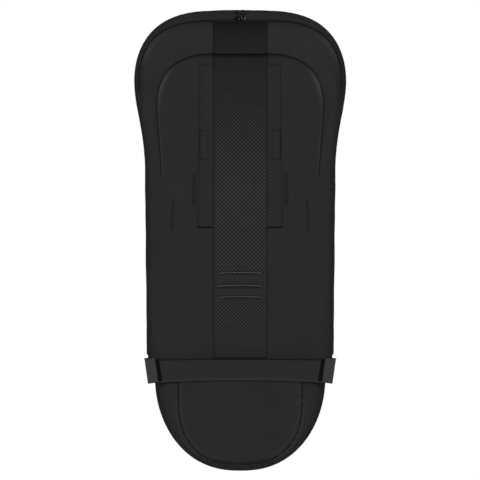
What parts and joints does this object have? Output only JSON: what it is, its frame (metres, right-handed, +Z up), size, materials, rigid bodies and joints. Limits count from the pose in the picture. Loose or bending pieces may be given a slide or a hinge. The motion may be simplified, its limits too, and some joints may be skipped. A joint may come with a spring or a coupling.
{
  "type": "stroller footmuff",
  "caption": "Padded pushchair footmuff with a zip-off front cover, round foot pouch, backrest pocket, harness slots and elastic cross strap.",
  "frame": {"origin": "middle of the backrest pocket's mouth, on the plane of the back panel", "axes": "+Z up from the toe to the hood, -Y out of the back towards the seat, +X to the right seen from behind"},
  "size_m": [0.4608, 0.1337, 1.0016],
  "materials": {
    "softshell": "matt black softshell polyester",
    "wadding": "white polyester wadding, hidden inside",
    "fleece": "charcoal fleece lining",
    "grip_fabric": "black fabric with raised grey rubber dots",
    "loop_tape": "black hook and loop tape",
    "binding": "black bias binding",
    "elastic": "black covered elastic",
    "webbing": "dark grey twill webbing",
    "zip_tape": "black woven zip tape",
    "zip_coil": "black nylon coil",
    "blackened_metal": "black painted die-cast zinc"
  },
  "bodies": {
    "back": {"back_shell": "softshell", "back_padding": "wadding", "back_lining": "fleece", "backrest_pocket": "softshell", "grip_strip_upper": "grip_fabric", "grip_strip_lower": "grip_fabric", "harness_patch": "softshell", "harness_tab_left": "loop_tape", "harness_tab_right": "loop_tape", "harness_slot_inner_left_binding": "binding", "harness_slot_inner_right_binding": "binding", "harness_slot_outer_left_binding": "binding", "harness_slot_outer_right_binding": "binding", "crotch_slot_1_binding": "binding", "crotch_slot_2_binding": "binding", "crotch_slot_3_binding": "binding", "cross_strap": "elastic", "strap_loop_left": "webbing", "strap_loop_right": "webbing", "foot_shell": "softshell", "foot_padding": "wadding", "foot_lining": "fleece", "sole_panel": "softshell", "sole_piping": "binding", "zip_tape_back": "zip_tape", "zip_coil_back": "zip_coil"},
    "cover": {"cover_shell": "softshell", "cover_padding": "wadding", "cover_lining": "fleece", "face_opening_binding": "binding", "zip_tape_cover": "zip_tape", "zip_coil_cover": "zip_coil"},
    "slider_left": {"zip_slider_left": "blackened_metal"},
    "slider_right": {"zip_slider_right": "blackened_metal"},
    "pull_left": {"zip_pull_left": "blackened_metal"},
    "pull_right": {"zip_pull_right": "blackened_metal"}
  },
  "joints": [
    {"name": "cover_fold", "type": "hinge", "parent": "back", "child": "cover", "pos_m": [0, 0.12, -0.6555], "axis": [-1, 0, 0], "range_deg": [0, 150]},
    {"name": "slider_left_slide", "type": "slide", "parent": "back", "child": "slider_left", "axis": [-1, 0, 0], "range_m": [0, 0.04]},
    {"name": "slider_right_slide", "type": "slide", "parent": "back", "child": "slider_right", "axis": [1, 0, 0], "range_m": [0, 0.04]},
    {"name": "pull_left_swing", "type": "hinge", "parent": "slider_left", "child": "pull_left", "pos_m": [-0.0065, 0.02835, 0.0823], "axis": [1, 0, 0], "range_deg": [0, 140]},
    {"name": "pull_right_swing", "type": "hinge", "parent": "slider_right", "child": "pull_right", "pos_m": [0.0065, 0.02835, 0.0823], "axis": [1, 0, 0], "range_deg": [0, 140]}
  ]
}
